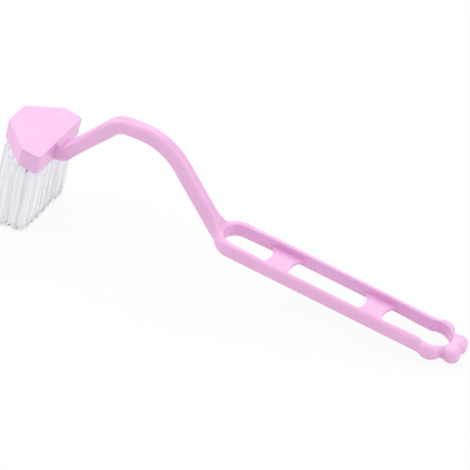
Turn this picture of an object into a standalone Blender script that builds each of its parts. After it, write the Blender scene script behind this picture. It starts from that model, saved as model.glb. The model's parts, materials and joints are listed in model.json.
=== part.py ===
# Toilet brush with a bent neck: one plastic moulding (head, neck and slotted grip),
# folded nylon tufts in blind holes of the head, and a wire anchor across each fold.
# Metres, +Z up. The brush lies as it is put down: bristle tips and grip end on z = 0.
# The grip frame has X along the rails, away from the head, and its top at z = 0.

import math

import bmesh
import bpy
from mathutils import Matrix, Vector

MM = 0.001

# Stance: the grip slopes down to its end by this angle
LIE_ANGLE = math.radians(9.8)

# Grip
GRIP_WIDTH = 24.0 * MM
RAIL_WIDTH = 3.3 * MM
GRIP_HEIGHT = 8.3 * MM
GRIP_EDGE_ROUND = 1.1 * MM
ROOT_CENTRE_X = 3.5 * MM
SLOT_PAST_ROOT = 0.7 * MM

# Ring at the end of the grip, and the waist of the slot before it
RING_HOLE_X = 124.9 * MM
RING_WALL = 4.1 * MM
WAIST_BEFORE_RING = 12.5 * MM
WAIST_TAPER = 13.0 * MM
WAIST_NARROWING = 0.7 * MM

# Lobes round the ring: one each side, standing out past the rails, and two at the tip
SIDE_LOBE_PAST_RING = 1.5 * MM
SIDE_LOBE_BULGE = 1.5 * MM
SIDE_LOBE_RADIUS = 7.5 * MM
SIDE_LOBE_BLEND = 6.0 * MM
TIP_LOBE_PAST_HOLE = 3.4 * MM
TIP_LOBE_Y = 4.2 * MM
TIP_LOBE_RADIUS = 4.8 * MM
SHOULDER_BLEND = 1.5 * MM
NOTCH_BLEND = 1.2 * MM

# Sizes of the grip that follow from those above
SLOT_HALF_WIDTH = GRIP_WIDTH / 2 - RAIL_WIDTH
WAIST_HALF_WIDTH = SLOT_HALF_WIDTH - WAIST_NARROWING
WAIST_X = RING_HOLE_X - WAIST_BEFORE_RING
SIDE_LOBE_X = RING_HOLE_X + SIDE_LOBE_PAST_RING
SIDE_LOBE_Y = GRIP_WIDTH / 2 + SIDE_LOBE_BULGE - SIDE_LOBE_RADIUS
RING_HOLE_RADIUS = GRIP_WIDTH / 2 + SIDE_LOBE_BULGE - RING_WALL
TIP_LOBE_X = RING_HOLE_X + RING_HOLE_RADIUS + TIP_LOBE_PAST_HOLE

# Webs between the rails, with concave ends
WEB_RECESS = 4.1 * MM
WEB_THICKNESS = 1.5 * MM
WEB_INTO_RAIL = 1.0 * MM
WEB_END_MARGIN = 1.1 * MM
WEB_SPANS = ((25.4 * MM, 37.2 * MM), (83.3 * MM, 94.3 * MM))

# Head, a flat block: straight back, parallel sides, then a tapered front
HEAD_TOP_Z = 5.6 * MM
HEAD_PITCH = math.radians(4.41)
HEAD_BACK_WIDTH = 45.0 * MM
HEAD_FRONT_WIDTH = 16.4 * MM
HEAD_PARALLEL = 11.9 * MM
HEAD_TAPERED = 18.0 * MM
HEAD_THICKNESS = 12.5 * MM
HEAD_EDGE_ROUND = 0.6 * MM
HEAD_BACK_CORNER = 2.4 * MM
HEAD_SIDE_CORNER = 1.5 * MM
HEAD_FRONT_CORNER = 2.4 * MM

# Neck centreline, from the head's back face to its level end in the grip's root
NECK_START = 3.0 * MM
NECK_ROOT_RADIUS = 4.2 * MM
NECK_RISE_ANGLE = math.radians(51.2)
NECK_RISE = 37.9 * MM
NECK_FIRST_RADIUS = 14.1 * MM
NECK_CREST_ANGLE = math.radians(6.2)
NECK_CREST = 7.6 * MM
NECK_SECOND_RADIUS = 31.9 * MM
NECK_FALL_ANGLE = math.radians(47.4)
NECK_END_RADIUS = 6.5 * MM
NECK_END_X = -5.1 * MM
NECK_INTO_HEAD = 3.0 * MM
NECK_FLUSH_STEP = 0.2 * MM

# Neck section, a rounded rectangle
NECK_WIDTH_HEAD = 11.0 * MM
NECK_WIDTH_RISE = 8.2 * MM
NECK_WIDTH_FALL = 7.8 * MM
NECK_HEIGHT_ROOT = 7.6 * MM
NECK_HEIGHT_RISE = 9.1 * MM
NECK_HEIGHT_FALL = 9.4 * MM
NECK_GRIP_STEP = 0.15 * MM
NECK_CORNER = 2.2 * MM
FLARE_RADIUS = 10.0 * MM
FLARE_RUN = 12.0 * MM
FLARE_STOPS = 5

# Tuft holes in the head's underside, in even rows from the back to the front
ROW_COUNTS = (7, 7, 6, 5, 3)
ROW_BACK_SPACE = 4.5 * MM
ROW_FRONT_SPACE = 3.6 * MM
ROW_SIDE_SPACES = (4.5 * MM, 4.5 * MM, 4.6 * MM, 4.1 * MM, 5.1 * MM)
HOLE_RADIUS = 1.85 * MM
HOLE_DEPTH = 8.0 * MM
FIT_GAP = 0.3 * MM

# Anchors, flat wire across the folds that bites into both sides of the hole
ANCHOR_BITE = 0.35 * MM
ANCHOR_LENGTH = 2 * (HOLE_RADIUS + ANCHOR_BITE)
ANCHOR_THICKNESS = 0.5 * MM
ANCHOR_HEIGHT = 2.0 * MM
ANCHOR_FROM_END = 1.4 * MM

# Strands, in rings round each tuft's middle, which spread towards their tips
STRAND_RADIUS = 0.28 * MM
STRAND_SIDES = 3
STRAND_FROM_WALL = 0.63 * MM
RING_COUNTS = (1, 5, 10)
STRAND_EMBED = 0.8 * MM
STRAND_REACH = 75.0 * MM
SPREAD_LENGTH = 50.0 * MM
SPREAD_RATIO = 1.5

# Lean of the tufts: all towards the neck, drawn together lengthwise, outward at row ends
LEAN_TO_NECK = math.radians(2.2)
LEAN_TOGETHER = math.radians(0.8)
SIDE_LEAN_PARALLEL = math.radians(0.7)
SIDE_LEAN_TAPERED = math.radians(3.8)

ARC_STEP = math.radians(10)
CORNER_STEPS = 3
HOLE_SIDES = 12
PLUG_SIDES = 12
WELD = 0.001 * MM

# Materials: colour, roughness, metallic
PINK_PLASTIC = ((0.93, 0.58, 0.84, 1.0), 0.3, 0.0)
WHITE_NYLON = ((0.82, 0.86, 0.93, 1.0), 0.45, 0.0)
ANCHOR_STEEL = ((0.55, 0.56, 0.58, 1.0), 0.35, 1.0)


def clear_scene():
    for old in list(bpy.data.objects):
        bpy.data.objects.remove(old, do_unlink=True)


def new_collection(name):
    collection = bpy.data.collections.new(name)
    bpy.context.scene.collection.children.link(collection)
    return collection


def new_material(name, look):
    colour, roughness, metallic = look
    material = bpy.data.materials.new(name)
    material.use_nodes = True
    shader = material.node_tree.nodes["Principled BSDF"]
    shader.inputs["Base Color"].default_value = colour
    shader.inputs["Roughness"].default_value = roughness
    shader.inputs["Metallic"].default_value = metallic
    return material


def new_empty(name, parent):
    empty = bpy.data.objects.new(name, None)
    bpy.context.scene.collection.objects.link(empty)
    empty.parent = parent
    return empty


def new_object(name, mesh, collection, parent):
    solid = bpy.data.objects.new(name, mesh)
    collection.objects.link(solid)
    solid.parent = parent
    return solid


def as_cutter(solid):
    solid.hide_render = True
    solid.display_type = "WIRE"
    return solid


def combine(solid, tool, operation):
    modifier = solid.modifiers.new(tool.name, "BOOLEAN")
    modifier.object = tool
    modifier.operation = operation
    modifier.solver = "EXACT"


# Outlines

def arc(centre_x, centre_y, radius, start, end):
    steps = max(2, math.ceil(abs(end - start) / ARC_STEP))
    angles = [start + (end - start) * step / steps for step in range(steps + 1)]
    return [(centre_x + radius * math.cos(a), centre_y + radius * math.sin(a)) for a in angles]


def circle_meeting(ax, ay, reach_a, bx, by, reach_b):
    """The left-hand point at reach_a from a and reach_b from b, going from a to b."""
    span = math.hypot(bx - ax, by - ay)
    along = (span ** 2 + reach_a ** 2 - reach_b ** 2) / (2 * span)
    aside = math.sqrt(reach_a ** 2 - along ** 2)
    ux, uy = (bx - ax) / span, (by - ay) / span
    return ax + along * ux - aside * uy, ay + along * uy + aside * ux


def bearing(from_x, from_y, to_x, to_y):
    return math.atan2(to_y - from_y, to_x - from_x)


def mirrored(half):
    """A closed outline from its +Y half, which runs from one axis point to the other."""
    return half + [(x, -y) for x, y in reversed(half) if abs(y) > WELD]


def rounded_corners(corners):
    """An outline through (x, y, radius) corners, given clockwise, with an arc at each."""
    points = []
    for index, (x, y, radius) in enumerate(corners):
        before = corners[index - 1]
        after = corners[(index + 1) % len(corners)]
        arriving = bearing(before[0], before[1], x, y)
        leaving = bearing(x, y, after[0], after[1])
        turn = (arriving - leaving) % math.tau
        setback = radius * math.tan(turn / 2)
        start_x = x - setback * math.cos(arriving)
        start_y = y - setback * math.sin(arriving)
        centre_x = start_x + radius * math.sin(arriving)
        centre_y = start_y - radius * math.cos(arriving)
        first = arriving + math.pi / 2
        points += arc(centre_x, centre_y, radius, first, first - turn)
    return points


def grip_outline():
    half_width = GRIP_WIDTH / 2
    half = arc(ROOT_CENTRE_X, 0, half_width, math.pi, math.pi / 2)

    blend_y = half_width + SIDE_LOBE_BLEND
    blend_reach = SIDE_LOBE_RADIUS + SIDE_LOBE_BLEND
    blend_x = SIDE_LOBE_X - math.sqrt(blend_reach ** 2 - (blend_y - SIDE_LOBE_Y) ** 2)
    to_blend = bearing(SIDE_LOBE_X, SIDE_LOBE_Y, blend_x, blend_y)
    half += arc(blend_x, blend_y, SIDE_LOBE_BLEND, -math.pi / 2, to_blend - math.pi)

    shoulder_x, shoulder_y = circle_meeting(
        SIDE_LOBE_X, SIDE_LOBE_Y, SIDE_LOBE_RADIUS + SHOULDER_BLEND,
        TIP_LOBE_X, TIP_LOBE_Y, TIP_LOBE_RADIUS + SHOULDER_BLEND)
    to_shoulder = bearing(SIDE_LOBE_X, SIDE_LOBE_Y, shoulder_x, shoulder_y)
    half += arc(SIDE_LOBE_X, SIDE_LOBE_Y, SIDE_LOBE_RADIUS, to_blend, to_shoulder)[1:]
    from_tip = bearing(TIP_LOBE_X, TIP_LOBE_Y, shoulder_x, shoulder_y)
    half += arc(shoulder_x, shoulder_y, SHOULDER_BLEND,
                to_shoulder - math.pi, from_tip - math.pi)[1:]

    notch_reach = TIP_LOBE_RADIUS + NOTCH_BLEND
    notch_x = TIP_LOBE_X + math.sqrt(notch_reach ** 2 - TIP_LOBE_Y ** 2)
    to_notch = bearing(TIP_LOBE_X, TIP_LOBE_Y, notch_x, 0)
    half += arc(TIP_LOBE_X, TIP_LOBE_Y, TIP_LOBE_RADIUS, from_tip, to_notch)[1:]
    half += arc(notch_x, 0, NOTCH_BLEND, to_notch + math.pi, math.pi)[1:]
    return mirrored(half)


def slot_outline():
    half = arc(ROOT_CENTRE_X + SLOT_PAST_ROOT, 0, SLOT_HALF_WIDTH, math.pi, math.pi / 2)
    half += [(WAIST_X - WAIST_TAPER, SLOT_HALF_WIDTH), (WAIST_X, WAIST_HALF_WIDTH)]
    mouth = math.pi - math.asin(WAIST_HALF_WIDTH / RING_HOLE_RADIUS)
    half += arc(RING_HOLE_X, 0, RING_HOLE_RADIUS, mouth, 0)
    return mirrored(half)


def web_outline(start_x, end_x):
    half_width = SLOT_HALF_WIDTH + WEB_INTO_RAIL
    radius = half_width + WEB_END_MARGIN
    swing = math.asin(half_width / radius)
    left = arc(start_x - radius, 0, radius, -swing, swing)
    right = arc(end_x + radius, 0, radius, math.pi - swing, math.pi + swing)
    return left + right


def head_outline():
    side_x = -HEAD_PARALLEL
    front_x = -HEAD_PARALLEL - HEAD_TAPERED
    back = HEAD_BACK_WIDTH / 2
    front = HEAD_FRONT_WIDTH / 2
    return rounded_corners([
        (front_x, -front, HEAD_FRONT_CORNER),
        (front_x, front, HEAD_FRONT_CORNER),
        (side_x, back, HEAD_SIDE_CORNER),
        (0, back, HEAD_BACK_CORNER),
        (0, -back, HEAD_BACK_CORNER),
        (side_x, -back, HEAD_SIDE_CORNER),
    ])


# Meshes

def flat_solid(name, outline, top_z, thickness, edge_round):
    """A mesh of an extruded outline, its top at top_z, with rounded rims."""
    curve = bpy.data.curves.new(name + "_outline", "CURVE")
    curve.dimensions = "2D"
    curve.fill_mode = "BOTH"
    curve.extrude = thickness / 2 - edge_round
    curve.bevel_depth = edge_round
    curve.bevel_resolution = 1
    curve.offset = -edge_round
    spline = curve.splines.new("POLY")
    spline.points.add(len(outline) - 1)
    for point, (x, y) in zip(spline.points, outline):
        point.co = (x, y, 0, 1)
    spline.use_cyclic_u = True

    guide = bpy.data.objects.new(name + "_guide", curve)
    bpy.context.scene.collection.objects.link(guide)
    bpy.context.view_layer.update()
    evaluated = guide.evaluated_get(bpy.context.evaluated_depsgraph_get())
    mesh = bpy.data.meshes.new_from_object(evaluated)
    mesh.name = name
    bpy.data.objects.remove(guide, do_unlink=True)

    shape = bmesh.new()
    shape.from_mesh(mesh)
    bmesh.ops.remove_doubles(shape, verts=shape.verts, dist=WELD)
    bmesh.ops.translate(shape, verts=shape.verts, vec=(0, 0, top_z - thickness / 2))
    bmesh.ops.recalc_face_normals(shape, faces=shape.faces)
    shape.to_mesh(mesh)
    shape.free()
    return mesh


def mesh_of(name, fill):
    """A mesh filled by a function that adds its geometry to an empty bmesh."""
    mesh = bpy.data.meshes.new(name)
    shape = bmesh.new()
    fill(shape)
    bmesh.ops.recalc_face_normals(shape, faces=shape.faces)
    shape.to_mesh(mesh)
    shape.free()
    return mesh


def add_cylinder(shape, sides, radius, bottom, top, matrix):
    middle = Matrix.Translation((0, 0, (bottom + top) / 2))
    bmesh.ops.create_cone(shape, cap_ends=True, segments=sides, radius1=radius, radius2=radius,
                          depth=top - bottom, matrix=matrix @ middle)


def add_box(shape, centre, size):
    bmesh.ops.create_cube(shape, size=1, matrix=Matrix.LocRotScale(centre, None, size))


# Neck

def on_head(along, up):
    """A point of the head in the middle plane, with x from the top of its back face."""
    x = along * math.cos(HEAD_PITCH) + up * math.sin(HEAD_PITCH)
    z = HEAD_TOP_Z - along * math.sin(HEAD_PITCH) + up * math.cos(HEAD_PITCH)
    return x, z


class Centreline:
    """Stations (x, z, direction, distance) along straights and arcs in the middle plane."""

    def __init__(self, x, z, direction):
        self.x = x
        self.z = z
        self.direction = direction
        self.distance = 0
        self.stations = [(x, z, direction, 0)]

    def advance(self, length, direction):
        self.x += length * math.cos(direction)
        self.z += length * math.sin(direction)

    def mark(self, length):
        self.distance += length
        self.stations.append((self.x, self.z, self.direction, self.distance))
        return self.distance

    def straight(self, length, stops=1):
        for _ in range(stops):
            self.advance(length / stops, self.direction)
            self.mark(length / stops)
        return self.distance

    def turn(self, radius, direction):
        stops = math.ceil(abs(direction - self.direction) / ARC_STEP)
        step = (direction - self.direction) / stops
        chord = 2 * radius * math.sin(abs(step) / 2)
        for _ in range(stops):
            self.advance(chord, self.direction + step / 2)
            self.direction += step
            self.mark(radius * abs(step))
        return self.distance


def blend(keys, distance):
    """The value at a distance, straight between (distance, value) keys."""
    for (d0, v0), (d1, v1) in zip(keys, keys[1:]):
        if distance <= d1:
            return v0 + (v1 - v0) * max(0, distance - d0) / (d1 - d0)
    return keys[-1][1]


def flare(x):
    """How far each side stands out at x, where the neck spreads into the grip's round end."""
    half_width = NECK_WIDTH_FALL / 2
    centre_y = half_width + FLARE_RADIUS
    reach = GRIP_WIDTH / 2 + FLARE_RADIUS
    centre_x = ROOT_CENTRE_X - math.sqrt(reach ** 2 - centre_y ** 2)
    if x <= centre_x:
        return 0
    touch_x = ROOT_CENTRE_X + (centre_x - ROOT_CENTRE_X) * GRIP_WIDTH / 2 / reach
    if x <= touch_x:
        return FLARE_RADIUS - math.sqrt(FLARE_RADIUS ** 2 - (x - centre_x) ** 2)
    inside = GRIP_WIDTH / 2 - NECK_FLUSH_STEP
    return math.sqrt(inside ** 2 - (x - ROOT_CENTRE_X) ** 2) - half_width


def neck_line():
    """The centreline, with x from the top of the head's back face, and where it changes."""
    start_x, start_z = on_head(-NECK_INTO_HEAD, -HEAD_THICKNESS / 2)
    line = Centreline(start_x, start_z, -HEAD_PITCH)
    at_head = line.straight(NECK_INTO_HEAD)
    line.advance(NECK_START, line.direction)
    line.distance += NECK_START
    at_root = line.turn(NECK_ROOT_RADIUS, NECK_RISE_ANGLE)
    at_rise = line.straight(NECK_RISE)
    line.turn(NECK_FIRST_RADIUS, NECK_CREST_ANGLE)
    line.straight(NECK_CREST)
    at_fall = line.turn(NECK_SECOND_RADIUS, -NECK_FALL_ANGLE)
    end_drop = NECK_END_RADIUS * (1 - math.cos(NECK_FALL_ANGLE))
    fall = (line.z + GRIP_HEIGHT / 2 - end_drop) / math.sin(NECK_FALL_ANGLE)
    line.straight(fall - FLARE_RUN)
    at_arc = line.straight(FLARE_RUN, FLARE_STOPS)
    at_end = line.turn(NECK_END_RADIUS, 0)
    return line, (at_head, at_root, at_rise, at_fall, at_arc, at_end)


def head_back_x():
    """Where the neck carries the top of the head's back face."""
    line, _ = neck_line()
    return NECK_END_X - line.x


def neck_stations():
    """Every section of the neck: its centre, direction, half width and half height."""
    line, (at_head, at_root, at_rise, at_fall, at_arc, at_end) = neck_line()
    shift = head_back_x()
    grip_height = GRIP_HEIGHT - 2 * NECK_GRIP_STEP
    flush_height = HEAD_THICKNESS - 2 * NECK_FLUSH_STEP
    widths = [(at_head, NECK_WIDTH_HEAD), (at_rise, NECK_WIDTH_RISE), (at_fall, NECK_WIDTH_FALL)]
    heights = [(at_head, flush_height), (at_root, NECK_HEIGHT_ROOT), (at_rise, NECK_HEIGHT_RISE),
               (at_fall, NECK_HEIGHT_FALL), (at_arc, NECK_HEIGHT_FALL), (at_end, grip_height)]
    return [(x + shift, z, direction, blend(widths, distance) / 2, blend(heights, distance) / 2)
            for x, z, direction, distance in line.stations]


def rounded_section(half_width, half_height):
    """Points around a rounded rectangle, as (across, up)."""
    points = []
    for quadrant in range(4):
        across = half_width - NECK_CORNER
        up = half_height - NECK_CORNER
        sign_across = 1 if quadrant in (0, 3) else -1
        sign_up = 1 if quadrant in (0, 1) else -1
        for step in range(CORNER_STEPS + 1):
            angle = math.pi / 2 * (quadrant + step / CORNER_STEPS)
            points.append((sign_across * across + NECK_CORNER * math.cos(angle),
                           sign_up * up + NECK_CORNER * math.sin(angle)))
    return points


def fill_neck(shape):
    rings = []
    for x, z, direction, half_width, half_height in neck_stations():
        ring = []
        for across, up in rounded_section(half_width, half_height):
            along = x - up * math.sin(direction)
            outward = across + math.copysign(flare(along), across)
            ring.append(shape.verts.new((along, outward, z + up * math.cos(direction))))
        rings.append(ring)
    for one, two in zip(rings, rings[1:]):
        for index in range(len(one)):
            after = (index + 1) % len(one)
            shape.faces.new((one[index], one[after], two[after], two[index]))
    shape.faces.new(reversed(rings[0]))
    shape.faces.new(rings[-1])


# Tufts and anchors

def head_width(from_back):
    tapered = max(0, from_back - HEAD_PARALLEL) / HEAD_TAPERED
    return HEAD_BACK_WIDTH + (HEAD_FRONT_WIDTH - HEAD_BACK_WIDTH) * tapered


def tuft_places():
    """The centre of each hole's mouth in the head's frame."""
    last = HEAD_PARALLEL + HEAD_TAPERED - ROW_FRONT_SPACE
    row_pitch = (last - ROW_BACK_SPACE) / (len(ROW_COUNTS) - 1)
    places = []
    for row, (count, side_space) in enumerate(zip(ROW_COUNTS, ROW_SIDE_SPACES)):
        from_back = ROW_BACK_SPACE + row * row_pitch
        outermost = head_width(from_back) / 2 - side_space
        for index in range(count):
            across = outermost * (2 * index / (count - 1) - 1)
            places.append(Vector((-from_back, across, -HEAD_THICKNESS)))
    return places


def anchor_centre(mouth):
    lift = HOLE_DEPTH - FIT_GAP - ANCHOR_FROM_END - ANCHOR_HEIGHT / 2
    return mouth + Vector((0, 0, lift))


def fill_holes(shape):
    for mouth in tuft_places():
        add_cylinder(shape, HOLE_SIDES, HOLE_RADIUS, -FIT_GAP, HOLE_DEPTH, Matrix.Translation(mouth))


def fill_anchor_slots(shape):
    size = (ANCHOR_THICKNESS + 2 * FIT_GAP, ANCHOR_LENGTH + 2 * FIT_GAP,
            ANCHOR_HEIGHT + 2 * FIT_GAP)
    for mouth in tuft_places():
        add_box(shape, anchor_centre(mouth), size)


def lean(mouth):
    """The slope of a tuft's axis, lengthwise and sideways, for each length down."""
    places = tuft_places()
    middle = (places[0].x + places[-1].x) / 2
    lengthwise = (mouth.x - middle) / (places[0].x - middle)
    row_end = max(place.y for place in places if abs(place.x - mouth.x) < WELD)
    side_lean = SIDE_LEAN_PARALLEL if -mouth.x < HEAD_PARALLEL else SIDE_LEAN_TAPERED
    return (math.tan(LEAN_TO_NECK) - lengthwise * math.tan(LEAN_TOGETHER),
            mouth.y / row_end * math.tan(side_lean))


def strand_roots():
    outermost = HOLE_RADIUS - STRAND_FROM_WALL
    roots = []
    for ring, count in enumerate(RING_COUNTS):
        radius = outermost * ring / (len(RING_COUNTS) - 1)
        for index in range(count):
            angle = math.tau * index / count
            roots.append((radius * math.cos(angle), radius * math.sin(angle)))
    return roots


def fill_strands(shape, mouth, table):
    """One tuft's strands, from inside its plug down to the table plane."""
    lean_x, lean_y = lean(mouth)
    for root_x, root_y in strand_roots():
        spread = (SPREAD_RATIO - 1) / SPREAD_LENGTH
        slope = Vector((lean_x + root_x * spread, lean_y + root_y * spread, -1)).normalized()
        root = Vector((root_x, root_y, STRAND_EMBED))
        aim = slope.to_track_quat("Z", "Y").to_matrix().to_4x4()
        add_cylinder(shape, STRAND_SIDES, STRAND_RADIUS, 0, STRAND_REACH,
                     Matrix.Translation(root) @ aim)
    plane_point, plane_normal = table
    cut = bmesh.ops.bisect_plane(shape, geom=shape.verts[:] + shape.edges[:] + shape.faces[:],
                                 plane_co=plane_point, plane_no=-plane_normal, clear_outer=True)
    rim = [part for part in cut["geom_cut"] if isinstance(part, bmesh.types.BMEdge)]
    bmesh.ops.holes_fill(shape, edges=rim)


def fill_plug(shape):
    add_cylinder(shape, PLUG_SIDES, HOLE_RADIUS - FIT_GAP, 0, HOLE_DEPTH - FIT_GAP, Matrix())


def fill_anchor(shape):
    add_box(shape, Vector(), (ANCHOR_THICKNESS, ANCHOR_LENGTH, ANCHOR_HEIGHT))


# Assembly

def make_handle(parts, cutters, stance, head_frame, anchor_slots):
    grip = flat_solid("handle", grip_outline(), 0, GRIP_HEIGHT, GRIP_EDGE_ROUND)
    grip.materials.clear()
    grip.materials.append(new_material("pink_plastic", PINK_PLASTIC))
    handle = new_object("handle", grip, parts, stance)

    neck = mesh_of("neck", fill_neck)
    combine(handle, as_cutter(new_object("neck", neck, cutters, stance)), "UNION")
    block = flat_solid("head_block", head_outline(), 0, HEAD_THICKNESS, HEAD_EDGE_ROUND)
    combine(handle, as_cutter(new_object("head_block", block, cutters, head_frame)), "UNION")

    slot = flat_solid("slot", slot_outline(), GRIP_HEIGHT, 3 * GRIP_HEIGHT, 0)
    combine(handle, as_cutter(new_object("slot", slot, cutters, stance)), "DIFFERENCE")
    for number, (start_x, end_x) in enumerate(WEB_SPANS, 1):
        name = f"web_{number}"
        web = flat_solid(name, web_outline(start_x, end_x), -WEB_RECESS, WEB_THICKNESS, 0)
        combine(handle, as_cutter(new_object(name, web, cutters, stance)), "UNION")

    holes = mesh_of("tuft_holes", fill_holes)
    combine(handle, as_cutter(new_object("tuft_holes", holes, cutters, head_frame)), "DIFFERENCE")
    combine(handle, anchor_slots, "DIFFERENCE")
    return handle


def set_down(handle, stance):
    """Lifts the brush so that its lowest moulded point is at z = 0."""
    bpy.context.view_layer.update()
    solid = handle.evaluated_get(bpy.context.evaluated_depsgraph_get())
    lowest = min((solid.matrix_world @ vertex.co).z for vertex in solid.data.vertices)
    stance.location.z -= lowest
    bpy.context.view_layer.update()


def make_tufts(parts, cutters, head_frame, anchor_slots):
    plug_mesh = mesh_of("plug", fill_plug)
    plug_mesh.materials.append(new_material("white_nylon", WHITE_NYLON))
    anchor_mesh = mesh_of("anchor", fill_anchor)
    anchor_mesh.materials.append(new_material("anchor_steel", ANCHOR_STEEL))
    for number, mouth in enumerate(tuft_places(), 1):
        tuft = new_object(f"tuft_{number:02d}", plug_mesh, parts, head_frame)
        tuft.location = mouth
        bpy.context.view_layer.update()
        to_local = tuft.matrix_world.inverted()
        table = (to_local @ Vector(), to_local.to_3x3() @ Vector((0, 0, 1)))

        name = f"strands_{number:02d}"
        strand_mesh = mesh_of(name, lambda shape: fill_strands(shape, mouth, table))
        strands = as_cutter(new_object(name, strand_mesh, cutters, head_frame))
        strands.location = mouth
        combine(tuft, strands, "UNION")
        combine(tuft, anchor_slots, "DIFFERENCE")

        anchor = new_object(f"anchor_{number:02d}", anchor_mesh, parts, head_frame)
        anchor.location = anchor_centre(mouth)


def centre_lengthwise(parts, stance):
    """Moves the brush along X so that its box is centred on the origin."""
    bpy.context.view_layer.update()
    graph = bpy.context.evaluated_depsgraph_get()
    reach = []
    for part in parts.objects:
        solid = part.evaluated_get(graph)
        reach += [(solid.matrix_world @ vertex.co).x for vertex in solid.data.vertices]
    stance.location.x -= (min(reach) + max(reach)) / 2
    bpy.context.view_layer.update()


def main():
    clear_scene()
    parts = new_collection("toilet_brush")
    cutters = new_collection("cutters")
    stance = new_empty("stance", None)
    stance.rotation_euler = (0, LIE_ANGLE, 0)
    head_frame = new_empty("head_frame", stance)
    head_frame.location = (head_back_x(), 0, HEAD_TOP_Z)
    head_frame.rotation_euler = (0, HEAD_PITCH, 0)
    slots = mesh_of("anchor_slots", fill_anchor_slots)
    anchor_slots = as_cutter(new_object("anchor_slots", slots, cutters, head_frame))
    handle = make_handle(parts, cutters, stance, head_frame, anchor_slots)
    set_down(handle, stance)
    make_tufts(parts, cutters, head_frame, anchor_slots)
    centre_lengthwise(parts, stance)


main()
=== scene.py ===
# Looks of the toilet brush: a soft-edged glossy moulding, bristle tufts with their own
# filaments, and steel anchors, on a plain white floor. Metres, +Z up.

import json
import math
import random

import bmesh
import bpy
from mathutils import Matrix, Quaternion, Vector

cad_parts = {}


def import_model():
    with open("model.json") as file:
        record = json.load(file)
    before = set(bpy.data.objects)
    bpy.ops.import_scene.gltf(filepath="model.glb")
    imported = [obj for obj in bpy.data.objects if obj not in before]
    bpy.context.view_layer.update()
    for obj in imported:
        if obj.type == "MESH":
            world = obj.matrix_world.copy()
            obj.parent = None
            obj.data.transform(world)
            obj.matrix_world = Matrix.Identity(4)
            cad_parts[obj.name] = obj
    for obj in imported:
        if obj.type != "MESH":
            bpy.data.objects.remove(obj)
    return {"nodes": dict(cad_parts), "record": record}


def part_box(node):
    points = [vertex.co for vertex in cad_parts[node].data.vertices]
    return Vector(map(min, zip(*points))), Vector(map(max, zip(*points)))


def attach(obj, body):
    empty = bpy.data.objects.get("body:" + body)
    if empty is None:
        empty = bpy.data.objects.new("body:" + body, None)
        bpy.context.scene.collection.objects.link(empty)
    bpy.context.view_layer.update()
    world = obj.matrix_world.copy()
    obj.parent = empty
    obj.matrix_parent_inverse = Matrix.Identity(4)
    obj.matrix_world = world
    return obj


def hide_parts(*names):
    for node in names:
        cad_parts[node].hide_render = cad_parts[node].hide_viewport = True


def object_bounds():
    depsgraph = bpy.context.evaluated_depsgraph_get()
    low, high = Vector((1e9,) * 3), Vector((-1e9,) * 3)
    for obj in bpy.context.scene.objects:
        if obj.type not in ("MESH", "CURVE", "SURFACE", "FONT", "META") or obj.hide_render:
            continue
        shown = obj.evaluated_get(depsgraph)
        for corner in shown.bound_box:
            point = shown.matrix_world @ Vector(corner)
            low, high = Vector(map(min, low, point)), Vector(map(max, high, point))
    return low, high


MM = 0.001

# Where the record's mounts lie in the grip's and the head's own frames
GRIP_MOUNT = Vector((61.0, 9.8, -8.3)) * MM
HEAD_MOUNT = Vector((-13.0, 0.0, 0.0)) * MM

# Grip
GRIP_WIDTH = 24.0 * MM
RAIL_WIDTH = 3.3 * MM
GRIP_HEIGHT = 8.3 * MM
GRIP_INNER_ROUND = 0.9 * MM
ROOT_CENTRE_X = 3.5 * MM
SLOT_PAST_ROOT = 0.9 * MM
SLOT_ROOT_NARROWING = 0.8 * MM
SLOT_ROOT_RUN = 20.0 * MM

# Outer rims of the grip as (x, radius): bulb-like at the root and the lobes
RIM_ROUNDS = ((-8.0 * MM, 2.9 * MM), (9.0 * MM, 1.1 * MM),
              (112.0 * MM, 1.1 * MM), (121.0 * MM, 2.7 * MM))
UNDERSIDE_ROUND_SHARE = 0.7

# Step of the slot's walls at the parting line: the lower half stands out
STEP_DEPTH = 4.1 * MM
STEP_STANDS_OUT = 0.25 * MM
STEP_EMBED = 0.6 * MM
STEP_FOOT = 0.7 * MM

# Ring at the end of the grip, and the waist of the slot before it
RING_HOLE_X = 124.9 * MM
RING_WALL = 4.6 * MM
WAIST_BEFORE_RING = 12.5 * MM
WAIST_TAPER = 13.0 * MM
WAIST_NARROWING = 0.7 * MM

# Lobes round the ring: one each side, standing out past the rails, and two at the tip
SIDE_LOBE_PAST_RING = 1.5 * MM
SIDE_LOBE_BULGE = 2.0 * MM
SIDE_LOBE_RADIUS = 6.6 * MM
SIDE_LOBE_BLEND = 4.0 * MM
TIP_LOBE_PAST_HOLE = 3.4 * MM
TIP_LOBE_Y = 4.2 * MM
TIP_LOBE_RADIUS = 4.8 * MM
SHOULDER_BLEND = 1.5 * MM
NOTCH_BLEND = 1.2 * MM

# Sizes of the grip that follow from those above
SLOT_HALF_WIDTH = GRIP_WIDTH / 2 - RAIL_WIDTH
WAIST_HALF_WIDTH = SLOT_HALF_WIDTH - WAIST_NARROWING
WAIST_X = RING_HOLE_X - WAIST_BEFORE_RING
SIDE_LOBE_X = RING_HOLE_X + SIDE_LOBE_PAST_RING
SIDE_LOBE_Y = GRIP_WIDTH / 2 + SIDE_LOBE_BULGE - SIDE_LOBE_RADIUS
RING_HOLE_RADIUS = GRIP_WIDTH / 2 + SIDE_LOBE_BULGE - RING_WALL
TIP_LOBE_X = RING_HOLE_X + RING_HOLE_RADIUS + TIP_LOBE_PAST_HOLE

# Webs between the rails, with concave ends
WEB_RECESS = 4.1 * MM
WEB_THICKNESS = 1.5 * MM
WEB_INTO_RAIL = 1.0 * MM
WEB_END_MARGIN = 1.1 * MM
WEB_EDGE_ROUND = 0.3 * MM
WEB_SPANS = ((25.4 * MM, 37.2 * MM), (83.3 * MM, 94.3 * MM))

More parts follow.
